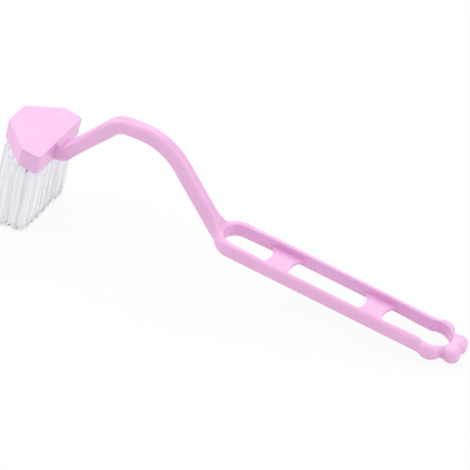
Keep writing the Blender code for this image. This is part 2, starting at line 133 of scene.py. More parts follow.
# Head, a flat block: straight back, parallel sides, then a tapered front
HEAD_BACK_WIDTH = 45.0 * MM
HEAD_FRONT_WIDTH = 16.4 * MM
HEAD_PARALLEL = 11.9 * MM
HEAD_TAPERED = 18.0 * MM
HEAD_THICKNESS = 12.5 * MM
HEAD_EDGE_ROUND = 0.7 * MM
HEAD_BACK_CORNER = 2.4 * MM
HEAD_SIDE_CORNER = 1.5 * MM
HEAD_FRONT_CORNER = 2.4 * MM

# Neck centreline, from the head's back face to its level end in the grip's root
NECK_START = 3.0 * MM
NECK_ROOT_RADIUS = 4.2 * MM
NECK_RISE_ANGLE = math.radians(51.2)
NECK_RISE = 37.9 * MM
NECK_FIRST_RADIUS = 14.1 * MM
NECK_CREST_ANGLE = math.radians(6.2)
NECK_CREST = 7.6 * MM
NECK_SECOND_RADIUS = 31.9 * MM
NECK_FALL_ANGLE = math.radians(47.4)
NECK_END_RADIUS = 6.5 * MM
NECK_INTO_HEAD = 3.0 * MM
NECK_FLUSH_STEP = 0.2 * MM

# Neck section, a rounded rectangle
NECK_WIDTH_HEAD = 11.0 * MM
NECK_WIDTH_RISE = 8.2 * MM
NECK_WIDTH_FALL = 7.8 * MM
NECK_HEIGHT_ROOT = 7.6 * MM
NECK_HEIGHT_RISE = 9.1 * MM
NECK_HEIGHT_FALL = 9.4 * MM
NECK_GRIP_STEP = 0.15 * MM
NECK_CORNER_HEAD = 0.9 * MM
NECK_CORNER = 2.8 * MM
NECK_CORNER_RUN = 14.0 * MM
NECK_CORNER_STEPS = 8
FLARE_RADIUS = 10.0 * MM

# Tuft holes, and the anchors' place in them
HOLE_RADIUS = 1.85 * MM
HOLE_DEPTH = 8.0 * MM
HOLE_SIDES = 32
HOLE_CUT_PAST = 1.0 * MM
ANCHOR_TO_MOUTH = 5.3 * MM

# Fineness of the moulding's mesh
ARC_STEP = math.radians(4)
ARC_FEWEST_STEPS = 2
ROUND_STEPS = 5
STATION_STEP = 1.5 * MM
AXIS_TOLERANCE = 0.001 * MM
SHARPEST_MITRE = 0.5
VOXEL = 0.4 * MM
SPECK = 0.03 * MM
SHARP_ANGLE = math.radians(40)

# Smoothing of the whole skin, and more of it where the neck's foot meets the grip's root
SMOOTHING = 0.5
SOFTENING_STEPS = 6
MELT_PLACE = Vector((-6.5, 0.0, 0.5)) * MM
MELT_REACH = 8.5 * MM
MELT_FADE = 0.5
MELT_STEPS = 60

# A tuft is a packed core with filaments round it, and more of them at its ragged end.
# It splays below the hole until it meets its neighbours, which press it square.
FILAMENT_RADIUS = 0.16 * MM
FILAMENT_PITCH = 0.36 * MM
FILAMENT_SIDES = 5
FILAMENT_RINGS = 8
FILAMENT_FROM_WALL = 0.05 * MM
FILAMENT_REACH = HOLE_RADIUS - FILAMENT_RADIUS - FILAMENT_FROM_WALL
FILAMENT_GIRTHS = (0.88, 1.08)
FILAMENT_TIP_GIRTH = 0.45
FILAMENT_RING_CROWDING = 1.3
FILAMENT_OUT_OF_CORE = 0.04 * MM
CORE_RADIUS = FILAMENT_REACH - FILAMENT_OUT_OF_CORE
CORE_SIDES = 30
CORE_RINGS = 12
CORE_GROOVES = (0.96, 1.02)
CORE_IN_HOLE = 1.5 * MM
CORE_SHORTER = 0.8 * MM
CORE_RAGGED = 2.2 * MM
END_LENGTH = 7.0 * MM
END_RINGS = 4
SPLAY_ALONG = (1.72, 1.84)
SPLAY_JITTER = (1.02, 1.08)
ROW_END_ROOM = 3.2 * MM
TUFT_LENGTH = 46.0 * MM
SQUARENESS = 0.9
SPLAY_LENGTH = 2.6 * MM
TUFT_WANDER = 0.008
FILAMENT_WANDER = 0.008
FILAMENT_BEND = 0.5 * MM
FILAMENT_BEND_POWER = 3
TUFT_LIFT = (0.3 * MM, 1.9 * MM)
FILAMENT_LIFT = 2.0 * MM
STRAY_SHARE = 0.05
STRAY_LIFT = 0.25 * MM
TUFT_SEED = 28

# Lean of the tufts: all towards the neck, drawn together lengthwise, outward at row ends
LEAN_TO_NECK = math.radians(2.2)
LEAN_TOGETHER = math.radians(0.8)
SIDE_LEAN_PARALLEL = math.radians(0.7)
SIDE_LEAN_TAPERED = math.radians(3.8)
ROW_TOLERANCE = 0.2 * MM

# Camera: what it looks at, its direction and distance from there, and its focal length in pixels
CAMERA_AIM = Vector((-2.7, 14.9, 17.5)) * MM
CAMERA_AZIMUTH = math.radians(29.23)
CAMERA_ELEVATION = math.radians(37.04)
CAMERA_ROLL = math.radians(0.16)
CAMERA_DISTANCE = 1638.6 * MM
PICTURE_SIDE = 470
FOCAL_PIXELS = 3000
SENSOR_WIDTH = 36.0
CAMERA_FAR = 20.0

# Pink plastic: two near colours in clouds, and a gloss that varies a little
PINK_LOW = (0.80, 0.42, 0.71, 1)
PINK_HIGH = (0.825, 0.45, 0.74, 1)
PINK_ROUGHNESS = (0.26, 0.36)
PINK_IOR = 1.5
PINK_SPECULAR = 0.8
PINK_GRAIN_DEPTH = 0.01 * MM

# Bristle nylon, a bluish white
NYLON_LOW = (0.945, 0.957, 1.0, 1)
NYLON_HIGH = (0.965, 0.975, 1.0, 1)
NYLON_ROUGHNESS = (0.35, 0.5)
NYLON_IOR = 1.53
NYLON_GRAIN_DEPTH = 0.003 * MM

# Anchor steel, drawn wire
STEEL_LOW = (0.48, 0.49, 0.51, 1)
STEEL_HIGH = (0.60, 0.61, 0.63, 1)
STEEL_ROUGHNESS = (0.28, 0.42)
STEEL_GRAIN_DEPTH = 0.005 * MM

# Noise patterns as (cells per metre, detail), and the part of their range that counts
PINK_CLOUDS = (60, 2)
PINK_FLOW = (140, 3)
PINK_GRAIN = (900, 2)
NYLON_STREAKS = (300, 2)
NYLON_GRAIN = (1500, 2)
STEEL_GRAIN = (2500, 3)
NOISE_LOW = 0.3
NOISE_HIGH = 0.7

# Studio: floor, world, and lamps as (name, direction, distance, size, watts)
FLOOR_HALF_SIDE = 4.0
FLOOR_ALBEDO = 0.85
FLOOR_GLOW_SHARE = 0.9
WHITE_GLOW = 1.0
SKY_LIGHT = 0.76
LAMPS = (("key", (-0.75, 0.0, 0.7), 2.2, 2.2, 20),
         ("back", (-0.1, 0.7, 0.75), 2.2, 1.2, 6.5),
         ("right", (0.85, 0.1, 0.55), 2.2, 1.6, 11))


# Frames

def grip_frame(mounts):
    """The grip's own frame: X along the rails away from the head, its top at z = 0."""
    mount = mounts["grip_underside"]
    up = -Vector(mount["axis"])
    turn = Vector((0, 0, 1)).rotation_difference(up).to_matrix().to_4x4()
    place = Vector(mount["pos_m"]) - turn.to_3x3() @ GRIP_MOUNT
    return Matrix.Translation(place) @ turn


def head_frame(mounts):
    """The head's own frame: X towards the neck, the top of its back face at the origin."""
    mount = mounts["head_top"]
    turn = Vector((0, 0, 1)).rotation_difference(Vector(mount["axis"])).to_matrix().to_4x4()
    place = Vector(mount["pos_m"]) - turn.to_3x3() @ HEAD_MOUNT
    return Matrix.Translation(place) @ turn


# Outlines

def arc(centre_x, centre_y, radius, start, end):
    steps = max(ARC_FEWEST_STEPS, math.ceil(abs(end - start) / ARC_STEP))
    angles = [start + (end - start) * step / steps for step in range(steps + 1)]
    return [(centre_x + radius * math.cos(a), centre_y + radius * math.sin(a)) for a in angles]


def circle_meeting(ax, ay, reach_a, bx, by, reach_b):
    """The left-hand point at reach_a from a and reach_b from b, going from a to b."""
    span = math.hypot(bx - ax, by - ay)
    along = (span ** 2 + reach_a ** 2 - reach_b ** 2) / (2 * span)
    aside = math.sqrt(reach_a ** 2 - along ** 2)
    ux, uy = (bx - ax) / span, (by - ay) / span
    return ax + along * ux - aside * uy, ay + along * uy + aside * ux


def bearing(from_x, from_y, to_x, to_y):
    return math.atan2(to_y - from_y, to_x - from_x)


def mirrored(half):
    """A closed outline from its +Y half, which runs from one axis point to the other."""
    return half + [(x, -y) for x, y in reversed(half) if abs(y) > AXIS_TOLERANCE]


def rounded_corners(corners):
    """An outline through (x, y, radius) corners, given clockwise, with an arc at each."""
    points = []
    for index, (x, y, radius) in enumerate(corners):
        before = corners[index - 1]
        after = corners[(index + 1) % len(corners)]
        arriving = bearing(before[0], before[1], x, y)
        leaving = bearing(x, y, after[0], after[1])
        turn = (arriving - leaving) % math.tau
        setback = radius * math.tan(turn / 2)
        start_x = x - setback * math.cos(arriving)
        start_y = y - setback * math.sin(arriving)
        centre_x = start_x + radius * math.sin(arriving)
        centre_y = start_y - radius * math.cos(arriving)
        first = arriving + math.pi / 2
        points += arc(centre_x, centre_y, radius, first, first - turn)
    return points


def grip_outline():
    half_width = GRIP_WIDTH / 2
    half = arc(ROOT_CENTRE_X, 0, half_width, math.pi, math.pi / 2)

    blend_y = half_width + SIDE_LOBE_BLEND
    blend_reach = SIDE_LOBE_RADIUS + SIDE_LOBE_BLEND
    blend_x = SIDE_LOBE_X - math.sqrt(blend_reach ** 2 - (blend_y - SIDE_LOBE_Y) ** 2)
    to_blend = bearing(SIDE_LOBE_X, SIDE_LOBE_Y, blend_x, blend_y)
    half += arc(blend_x, blend_y, SIDE_LOBE_BLEND, -math.pi / 2, to_blend - math.pi)

    shoulder_x, shoulder_y = circle_meeting(
        SIDE_LOBE_X, SIDE_LOBE_Y, SIDE_LOBE_RADIUS + SHOULDER_BLEND,
        TIP_LOBE_X, TIP_LOBE_Y, TIP_LOBE_RADIUS + SHOULDER_BLEND)
    to_shoulder = bearing(SIDE_LOBE_X, SIDE_LOBE_Y, shoulder_x, shoulder_y)
    half += arc(SIDE_LOBE_X, SIDE_LOBE_Y, SIDE_LOBE_RADIUS, to_blend, to_shoulder)[1:]
    from_tip = bearing(TIP_LOBE_X, TIP_LOBE_Y, shoulder_x, shoulder_y)
    half += arc(shoulder_x, shoulder_y, SHOULDER_BLEND,
                to_shoulder - math.pi, from_tip - math.pi)[1:]

    notch_reach = TIP_LOBE_RADIUS + NOTCH_BLEND
    notch_x = TIP_LOBE_X + math.sqrt(notch_reach ** 2 - TIP_LOBE_Y ** 2)
    to_notch = bearing(TIP_LOBE_X, TIP_LOBE_Y, notch_x, 0)
    half += arc(TIP_LOBE_X, TIP_LOBE_Y, TIP_LOBE_RADIUS, from_tip, to_notch)[1:]
    half += arc(notch_x, 0, NOTCH_BLEND, to_notch + math.pi, math.pi)[1:]
    return mirrored(half)


def slot_outline():
    root_x = ROOT_CENTRE_X + SLOT_PAST_ROOT
    half = arc(root_x, 0, SLOT_HALF_WIDTH - SLOT_ROOT_NARROWING, math.pi, math.pi / 2)
    half.append((root_x + SLOT_ROOT_RUN, SLOT_HALF_WIDTH))
    half += [(WAIST_X - WAIST_TAPER, SLOT_HALF_WIDTH), (WAIST_X, WAIST_HALF_WIDTH)]
    mouth = math.pi - math.asin(WAIST_HALF_WIDTH / RING_HOLE_RADIUS)
    half += arc(RING_HOLE_X, 0, RING_HOLE_RADIUS, mouth, 0)
    return mirrored(half)


def web_outline(start_x, end_x):
    half_width = SLOT_HALF_WIDTH + WEB_INTO_RAIL
    radius = half_width + WEB_END_MARGIN
    swing = math.asin(half_width / radius)
    left = arc(start_x - radius, 0, radius, swing, -swing)
    right = arc(end_x + radius, 0, radius, math.pi + swing, math.pi - swing)
    return left + right


def head_outline():
    side_x = -HEAD_PARALLEL
    front_x = -HEAD_PARALLEL - HEAD_TAPERED
    back = HEAD_BACK_WIDTH / 2
    front = HEAD_FRONT_WIDTH / 2
    return rounded_corners([
        (front_x, -front, HEAD_FRONT_CORNER),
        (front_x, front, HEAD_FRONT_CORNER),
        (side_x, back, HEAD_SIDE_CORNER),
        (0, back, HEAD_BACK_CORNER),
        (0, -back, HEAD_BACK_CORNER),
        (side_x, -back, HEAD_SIDE_CORNER),
    ])


def moved_out(outline, distances):
    """A clockwise outline with every point moved out by its own distance."""
    points = [Vector(point) for point in outline]
    moved = []
    for index, (here, distance) in enumerate(zip(points, distances)):
        arriving = (here - points[index - 1]).normalized()
        leaving = (points[(index + 1) % len(points)] - here).normalized()
        middle = (arriving + leaving).normalized()
        outward = Vector((-middle.y, middle.x))
        moved.append(here + outward * distance / max(SHARPEST_MITRE, middle.dot(leaving)))
    return moved


# Meshes

def new_piece(name, fill):
    """An object whose mesh is filled by a function that adds to an empty bmesh."""
    mesh = bpy.data.meshes.new(name)
    shape = bmesh.new()
    fill(shape)
    bmesh.ops.recalc_face_normals(shape, faces=shape.faces)
    shape.to_mesh(mesh)
    shape.free()
    piece = bpy.data.objects.new(name, mesh)
    bpy.context.scene.collection.objects.link(piece)
    return piece


def join_loops(shape, one, two):
    """A band of faces between two rings of vertices."""
    for index in range(len(one)):
        after = (index + 1) % len(one)
        shape.faces.new((one[index], one[after], two[after], two[index]))


def join_rings(shape, rings):
    """Walls between rings of vertices, with a flat cap at each end."""
    for one, two in zip(rings, rings[1:]):
        join_loops(shape, one, two)
    shape.faces.new(rings[0])
    shape.faces.new(rings[-1])


def quarter_turn():
    return [math.pi / 2 * step / ROUND_STEPS for step in range(ROUND_STEPS + 1)]


def fill_plate(shape, outline, top, thickness, rim_round, underside_share=1):
    """A plate whose rims are rounded off by a radius that depends on x."""
    quarter = quarter_turn()
    levels = [(-1, angle) for angle in reversed(quarter)] + [(1, angle) for angle in quarter]
    rings = []
    for side, angle in levels:
        share = underside_share if side < 0 else 1
        radii = [rim_round(x) * share for x, _ in outline]
        places = moved_out(outline, [radius * (math.cos(angle) - 1) for radius in radii])
        ring = []
        for place, radius in zip(places, radii):
            reach = thickness / 2 - radius * (1 - math.sin(angle))
            ring.append(shape.verts.new((place.x, place.y, top - thickness / 2 + side * reach)))
        rings.append(ring)
    join_rings(shape, rings)


def fill_slot(shape):
    """The slot's cutter, flared at both rims."""
    outline = slot_outline()
    upper = [(-GRIP_INNER_ROUND * (1 - math.sin(angle)), GRIP_INNER_ROUND * (1 - math.cos(angle)))
             for angle in quarter_turn()]
    upper.append((GRIP_HEIGHT, GRIP_INNER_ROUND))
    lower = [(-GRIP_HEIGHT - height, distance) for height, distance in reversed(upper)]
    rings = []
    for height, distance in lower + upper:
        places = moved_out(outline, [distance] * len(outline))
        rings.append([shape.verts.new((place.x, place.y, height)) for place in places])
    join_rings(shape, rings)


def fill_step(shape):
    """A closed band round the slot's walls, sunk into them, with a sloped top."""
    outline = slot_outline()
    foot = STEP_FOOT - GRIP_HEIGHT
    corners = ((STEP_EMBED, STEP_EMBED - STEP_DEPTH),
               (-STEP_STANDS_OUT, -STEP_DEPTH - STEP_STANDS_OUT),
               (-STEP_STANDS_OUT, foot), (STEP_EMBED, foot))
    rings = []
    for distance, height in corners:
        places = moved_out(outline, [distance] * len(outline))
        rings.append([shape.verts.new((place.x, place.y, height)) for place in places])
    for one, two in zip(rings, rings[1:] + rings[:1]):
        join_loops(shape, one, two)


# Neck

class Centreline:
    """Stations (x, z, direction, distance) along straights and arcs in the middle plane."""

    def __init__(self, x, z, direction):
        self.x = x
        self.z = z
        self.direction = direction
        self.distance = 0
        self.stations = [(x, z, direction, 0)]

    def mark(self, length, direction):
        """Moves on by a length without a station."""
        self.x += length * math.cos(direction)
        self.z += length * math.sin(direction)

    def straight(self, length):
        stops = math.ceil(length / STATION_STEP)
        for _ in range(stops):
            self.mark(length / stops, self.direction)
            self.distance += length / stops
            self.stations.append((self.x, self.z, self.direction, self.distance))
        return self.distance

    def turn(self, radius, direction):
        stops = math.ceil(abs(direction - self.direction) / ARC_STEP)
        step = (direction - self.direction) / stops
        for _ in range(stops):
            self.mark(2 * radius * math.sin(abs(step) / 2), self.direction + step / 2)
            self.direction += step
            self.distance += radius * abs(step)
            self.stations.append((self.x, self.z, self.direction, self.distance))
        return self.distance


def blend(keys, distance):
    """The value at a distance, easing between (distance, value) keys."""
    for (d0, v0), (d1, v1) in zip(keys, keys[1:]):
        if distance <= d1:
            share = max(0, distance - d0) / (d1 - d0)
            return v0 + (v1 - v0) * share * share * (3 - 2 * share)
    return keys[-1][1]


def flare(x):
    """How far each side stands out at x, where the neck spreads into the grip's round end."""
    half_width = NECK_WIDTH_FALL / 2
    centre_y = half_width + FLARE_RADIUS
    reach = GRIP_WIDTH / 2 + FLARE_RADIUS
    centre_x = ROOT_CENTRE_X - math.sqrt(reach ** 2 - centre_y ** 2)
    if x <= centre_x:
        return 0
    touch_x = ROOT_CENTRE_X + (centre_x - ROOT_CENTRE_X) * GRIP_WIDTH / 2 / reach
    if x <= touch_x:
        return FLARE_RADIUS - math.sqrt(FLARE_RADIUS ** 2 - (x - centre_x) ** 2)
    inside = GRIP_WIDTH / 2 - NECK_FLUSH_STEP
    return math.sqrt(inside ** 2 - (x - ROOT_CENTRE_X) ** 2) - half_width


def neck_stations(head):
    """Every section of the neck in the grip's frame, from the head's frame within it."""
    start = head @ Vector((-NECK_INTO_HEAD, 0, -HEAD_THICKNESS / 2))
    along = head.to_3x3() @ Vector((1, 0, 0))
    line = Centreline(start.x, start.z, math.atan2(along.z, along.x))
    at_head = line.straight(NECK_INTO_HEAD)
    line.mark(NECK_START, line.direction)
    line.distance += NECK_START
    at_root = line.turn(NECK_ROOT_RADIUS, NECK_RISE_ANGLE)
    at_rise = line.straight(NECK_RISE)
    line.turn(NECK_FIRST_RADIUS, NECK_CREST_ANGLE)
    line.straight(NECK_CREST)
    at_fall = line.turn(NECK_SECOND_RADIUS, -NECK_FALL_ANGLE)
    end_drop = NECK_END_RADIUS * (1 - math.cos(NECK_FALL_ANGLE))
    fall = (line.z + GRIP_HEIGHT / 2 - end_drop) / math.sin(NECK_FALL_ANGLE)
    at_arc = line.straight(fall)
    at_end = line.turn(NECK_END_RADIUS, 0)

    flush_height = HEAD_THICKNESS - 2 * NECK_FLUSH_STEP
    grip_height = GRIP_HEIGHT - 2 * NECK_GRIP_STEP
    widths = [(at_head, NECK_WIDTH_HEAD), (at_rise, NECK_WIDTH_RISE), (at_fall, NECK_WIDTH_FALL)]
    heights = [(at_head, flush_height), (at_root, NECK_HEIGHT_ROOT), (at_rise, NECK_HEIGHT_RISE),
               (at_fall, NECK_HEIGHT_FALL), (at_arc, NECK_HEIGHT_FALL), (at_end, grip_height)]
    corners = [(at_root, NECK_CORNER_HEAD), (at_root + NECK_CORNER_RUN, NECK_CORNER)]
    return [(x, z, direction, blend(widths, distance) / 2, blend(heights, distance) / 2,
             blend(corners, distance)) for x, z, direction, distance in line.stations]


def rounded_section(half_width, half_height, corner):
    """Points around a rounded rectangle, as (across, up)."""
    points = []
    for quadrant in range(4):
        across = half_width - corner
        up = half_height - corner
        sign_across = 1 if quadrant in (0, 3) else -1
        sign_up = 1 if quadrant in (0, 1) else -1
        for step in range(NECK_CORNER_STEPS + 1):
            angle = math.pi / 2 * (quadrant + step / NECK_CORNER_STEPS)
            points.append((sign_across * across + corner * math.cos(angle),
                           sign_up * up + corner * math.sin(angle)))
    return points


def fill_neck(shape, head):
    rings = []
    for x, z, direction, half_width, half_height, corner in neck_stations(head):
        ring = []
        for across, up in rounded_section(half_width, half_height, corner):
            along = x - up * math.sin(direction)
            outward = across + math.copysign(flare(along), across)
            ring.append(shape.verts.new((along, outward, z + up * math.cos(direction))))
        rings.append(ring)
    join_rings(shape, rings)


# Moulding

def fill_holes(shape, mouths):
    """Cutters for the blind holes, which start below the head's underside."""
    for mouth in mouths:
        middle = Matrix.Translation(mouth + Vector((0, 0, HOLE_DEPTH / 2 - HOLE_CUT_PAST / 2)))
        bmesh.ops.create_cone(shape, cap_ends=True, segments=HOLE_SIDES, radius1=HOLE_RADIUS,
                              radius2=HOLE_RADIUS, depth=HOLE_DEPTH + HOLE_CUT_PAST, matrix=middle)


def combine(solid, tool, operation):
    modifier = solid.modifiers.new(tool.name, "BOOLEAN")
    modifier.object = tool
    modifier.operation = operation
    modifier.solver = "EXACT"


def settle(piece, tools):
    """Applies a piece's modifiers to its mesh and removes what they used."""
    bpy.context.view_layer.update()
    evaluated = piece.evaluated_get(bpy.context.evaluated_depsgraph_get())
    mesh = bpy.data.meshes.new_from_object(evaluated)
    piece.modifiers.clear()
    piece.data = mesh
    for tool in tools:
        bpy.data.objects.remove(tool, do_unlink=True)


def add_smoothing(piece, steps):
    smooth = piece.modifiers.new("smooth", "SMOOTH")
    smooth.factor = SMOOTHING
    smooth.iterations = steps
    return smooth


def soften(piece):
    """Turns the joined solids into one even skin with softly rounded edges."""
    skin = piece.modifiers.new("skin", "REMESH")
    skin.mode = "VOXEL"
    skin.voxel_size = VOXEL
    skin.use_smooth_shade = True
    add_smoothing(piece, SOFTENING_STEPS)


def melt_root(piece):
    """Lets the neck's foot flow into the grip's root and the end of the slot."""
    group = piece.vertex_groups.new(name="root")
    for vertex in piece.data.vertices:
        near = 1 - (vertex.co - MELT_PLACE).length / MELT_REACH
        if near > 0:
            group.add([vertex.index], min(1, near / MELT_FADE), "REPLACE")
    add_smoothing(piece, MELT_STEPS).vertex_group = group.name


def clean_up(piece):
    """Welds the specks that the cuts leave where surfaces meet."""
    shape = bmesh.new()
    shape.from_mesh(piece.data)
    bmesh.ops.remove_doubles(shape, verts=shape.verts, dist=SPECK)
    bmesh.ops.dissolve_degenerate(shape, edges=shape.edges, dist=SPECK)
    shape.to_mesh(piece.data)
    shape.free()


def shade_smooth(piece):
    for face in piece.data.polygons:
        face.use_smooth = True


def even_shading(piece):
    """Keeps broad faces flat and shades small rounded ones smoothly."""
    piece.data.set_sharp_from_angle(angle=SHARP_ANGLE)
    shade_smooth(piece)
    normals = piece.modifiers.new("normals", "WEIGHTED_NORMAL")
    normals.keep_sharp = True


def make_moulding(grip, head, mouths):
    """The one-piece handle: grip, neck, head block and webs, built in the grip's frame."""
    head_in_grip = grip.inverted() @ head
    moulding = new_piece("handle_moulding", lambda shape: fill_plate(
        shape, grip_outline(), 0, GRIP_HEIGHT,
        lambda x: blend(RIM_ROUNDS, x), UNDERSIDE_ROUND_SHARE))
    neck = new_piece("neck_tool", lambda shape: fill_neck(shape, head_in_grip))
    slot = new_piece("slot_tool", fill_slot)
    combine(moulding, neck, "UNION")
    combine(moulding, slot, "DIFFERENCE")
    soften(moulding)
    settle(moulding, [neck, slot])
    melt_root(moulding)
    settle(moulding, [])

    block = new_piece("head_tool", lambda shape: fill_plate(
        shape, head_outline(), 0, HEAD_THICKNESS, lambda x: HEAD_EDGE_ROUND))
    block.matrix_world = head_in_grip
    holes = new_piece("hole_tool", lambda shape: fill_holes(shape, mouths))
    holes.matrix_world = head_in_grip
    step = new_piece("step_tool", fill_step)
    combine(moulding, block, "UNION")
    combine(moulding, holes, "DIFFERENCE")
    combine(moulding, step, "UNION")
    tools = [block, holes, step]
    for number, (start_x, end_x) in enumerate(WEB_SPANS, 1):
        web = new_piece(f"web_tool_{number}", lambda shape: fill_plate(
            shape, web_outline(start_x, end_x), -WEB_RECESS, WEB_THICKNESS,
            lambda x: WEB_EDGE_ROUND))
        combine(moulding, web, "UNION")
        tools.append(web)
    settle(moulding, tools)
    moulding.data.transform(grip)
    clean_up(moulding)
    even_shading(moulding)
    return moulding


# Bristles

def filament_roots():
    """Places in a hole on evenly filled circles, as (x, y)."""
    reach = FILAMENT_REACH
    places = [(0.0, 0.0)]
    while reach > FILAMENT_PITCH / 2:
        count = int(math.tau * reach / FILAMENT_PITCH)
        angles = [math.tau * place / count for place in range(count)]
        places += [(reach * math.cos(angle), reach * math.sin(angle)) for angle in angles]
        reach -= FILAMENT_PITCH
    return places


def fill_filament(shape, path, radius):
    """A thin round strand along a path, with a rounded-off tip."""
    aim = (path[-1] - path[0]).to_track_quat("Z", "Y")
    rings = []
    for index, centre in enumerate(path):
        girth = radius * (FILAMENT_TIP_GIRTH if index == len(path) - 1 else 1)
        ring = []
        for side in range(FILAMENT_SIDES):
            angle = math.tau * side / FILAMENT_SIDES
            out = Vector((girth * math.cos(angle), girth * math.sin(angle), 0))
            ring.append(shape.verts.new(centre + aim @ out))
        rings.append(ring)
    join_rings(shape, rings)


class Tuft:
    """Where the fibres of one tuft run, in the row frame, from the hole's mouth down."""

    def __init__(self, head, mouth, mouths, box, draw):
        self.turn = head.to_3x3()
        self.mouth = head @ mouth
        self.draw = draw
        slope = tuft_slope(mouth, mouths)
        self.direction = self.turn @ Vector((slope.x, slope.y, -1)) + self.aside(TUFT_WANDER)
        self.low, self.high = box
        self.lift = draw.uniform(*TUFT_LIFT)
        self.along = draw.uniform(*SPLAY_ALONG)
        self.across = [room / CORE_RADIUS * draw.uniform(*SPLAY_JITTER)
                       for room in row_room(mouth, mouths)]

    def aside(self, spread):
        """A random shift across the tuft."""
        return self.turn @ Vector((self.draw.gauss(0, spread), self.draw.gauss(0, spread), 0))

    def offset(self, root, drop):
        """How far from the tuft's axis a fibre is, a length down the tuft."""
        settled = 1 - math.exp(-max(0, drop) / SPLAY_LENGTH)
        x, y = root
        widest = max(abs(x), abs(y))
        square = (math.hypot(x, y) / widest) ** (SQUARENESS * settled) if widest else 1
        along = x * square * (1 + (self.along - 1) * settled)
        across = y * square * (1 + (self.across[y > 0] - 1) * settled)
        return self.turn @ Vector((along, across, 0))

    def place(self, root, drop):
        """Where a fibre from a place in the hole is, a length down the tuft."""
        return self.held_in(self.mouth + self.direction * drop + self.offset(root, drop))

    def held_in(self, point):
        """The nearest point within the length and width that the solids take."""
        x = max(self.low.x, min(self.high.x, point.x))
        y = max(self.low.y, min(self.high.y, point.y))
        return Vector((x, y, point.z))

    def drop_to(self, root, height):
        """The length down the tuft at which a fibre is at a height."""
        far = self.offset(root, math.inf)
        return (height - self.mouth.z - far.z) / self.direction.z

    def fill_core(self, shape):
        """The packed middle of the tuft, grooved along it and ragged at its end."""
        angles = [math.tau * side / CORE_SIDES for side in range(CORE_SIDES)]
        reaches = [CORE_RADIUS * self.draw.uniform(*CORE_GROOVES) for _ in angles]
        roots = [(reach * math.cos(angle), reach * math.sin(angle))
                 for reach, angle in zip(reaches, angles)]
        ends = [self.drop_to(root, self.lift + CORE_SHORTER + self.draw.uniform(0, CORE_RAGGED))
                for root in roots]
        rings = []
        for step in range(CORE_RINGS):
            way = step / (CORE_RINGS - 1)
            drops = [-CORE_IN_HOLE + (end + CORE_IN_HOLE) * way for end in ends]
            rings.append([shape.verts.new(self.place(root, drop)) for root, drop in zip(roots, drops)])
        join_rings(shape, rings)

    def fill_fibre(self, shape, root, start, stops):
        """One filament to its own tip, from a length down the tuft or from near its end."""
        draw = self.draw
        lift = max(STRAY_LIFT, self.lift + draw.gauss(0, FILAMENT_LIFT))
        if draw.random() < STRAY_SHARE:
            lift = STRAY_LIFT
        end = self.drop_to(root, lift)
        first = end - END_LENGTH if start is None else start
        wander = self.aside(FILAMENT_WANDER) * end
        sway = self.aside(FILAMENT_BEND)
        path = []
        for step in range(stops):
            drop = first + (end - first) * (step / (stops - 1)) ** FILAMENT_RING_CROWDING
            way = max(0, drop / end)
            bent = sway * way ** FILAMENT_BEND_POWER
            path.append(self.held_in(self.place(root, drop) + wander * way + bent))
        path[-1].z = lift
        path.insert(-1, path[-1] + (path[-2] - path[-1]).normalized() * FILAMENT_RADIUS)
        fill_filament(shape, path, FILAMENT_RADIUS * draw.uniform(*FILAMENT_GIRTHS))

    def fill(self, shape):
        self.fill_core(shape)
        for root in filament_roots():
            if math.hypot(*root) > CORE_RADIUS - FILAMENT_RADIUS:
                self.fill_fibre(shape, root, -ANCHOR_TO_MOUTH, FILAMENT_RINGS)
            else:
                self.fill_fibre(shape, root, None, END_RINGS)


def tuft_row(mouth, mouths):
    return [place for place in mouths if abs(place.x - mouth.x) < ROW_TOLERANCE]


def tuft_slope(mouth, mouths):
    """The slope of a tuft's axis, lengthwise and sideways, for each length down."""
    back = max(place.x for place in mouths)
    middle = (back + min(place.x for place in mouths)) / 2
    lengthwise = (mouth.x - middle) / (back - middle)
    row_end = max(place.y for place in tuft_row(mouth, mouths))
    side_lean = SIDE_LEAN_PARALLEL if -mouth.x < HEAD_PARALLEL else SIDE_LEAN_TAPERED
    return Vector((math.tan(LEAN_TO_NECK) - lengthwise * math.tan(LEAN_TOGETHER),
                   mouth.y / row_end * math.tan(side_lean)))


def row_room(mouth, mouths):
    """Half the way to the neighbours in a tuft's row at the tips, below and above it in y."""
    row = sorted(tuft_row(mouth, mouths), key=lambda place: place.y)
    tips = [place.y + tuft_slope(place, mouths).y * TUFT_LENGTH for place in row]
    index = row.index(mouth)
    below = (tips[index] - tips[index - 1]) / 2 if index else ROW_END_ROOM
    above = (tips[index + 1] - tips[index]) / 2 if index + 1 < len(row) else ROW_END_ROOM
    return below, above


def make_tufts(head, mouths, box):
    """A bristle tuft for each hole, inside the box that the solids fill."""
    draw = random.Random(TUFT_SEED)
    margin = Vector((1, 1, 0)) * 2 * FILAMENT_RADIUS
    inner = (Vector(box[0]) + margin, Vector(box[1]) - margin)
    tufts = []
    for number, mouth in enumerate(mouths, 1):
        tuft = new_piece(f"bristles_{number:02d}",
                         lambda shape: Tuft(head, mouth, mouths, inner, draw).fill(shape))
        shade_smooth(tuft)
        tufts.append(tuft)
    return tufts


# Materials

def new_material(name):
    material = bpy.data.materials.new(name)
    material.use_nodes = True
    return material, material.node_tree.nodes, material.node_tree.links


def noise(nodes, links, pattern_size):
    """Noise in the object's own metres, of a (cells per metre, detail) size."""
    scale, detail = pattern_size
    place = nodes.new("ShaderNodeTexCoord")
    pattern = nodes.new("ShaderNodeTexNoise")
    pattern.inputs["Scale"].default_value = scale
    pattern.inputs["Detail"].default_value = detail
    links.new(place.outputs["Object"], pattern.inputs["Vector"])
    return pattern.outputs["Fac"]


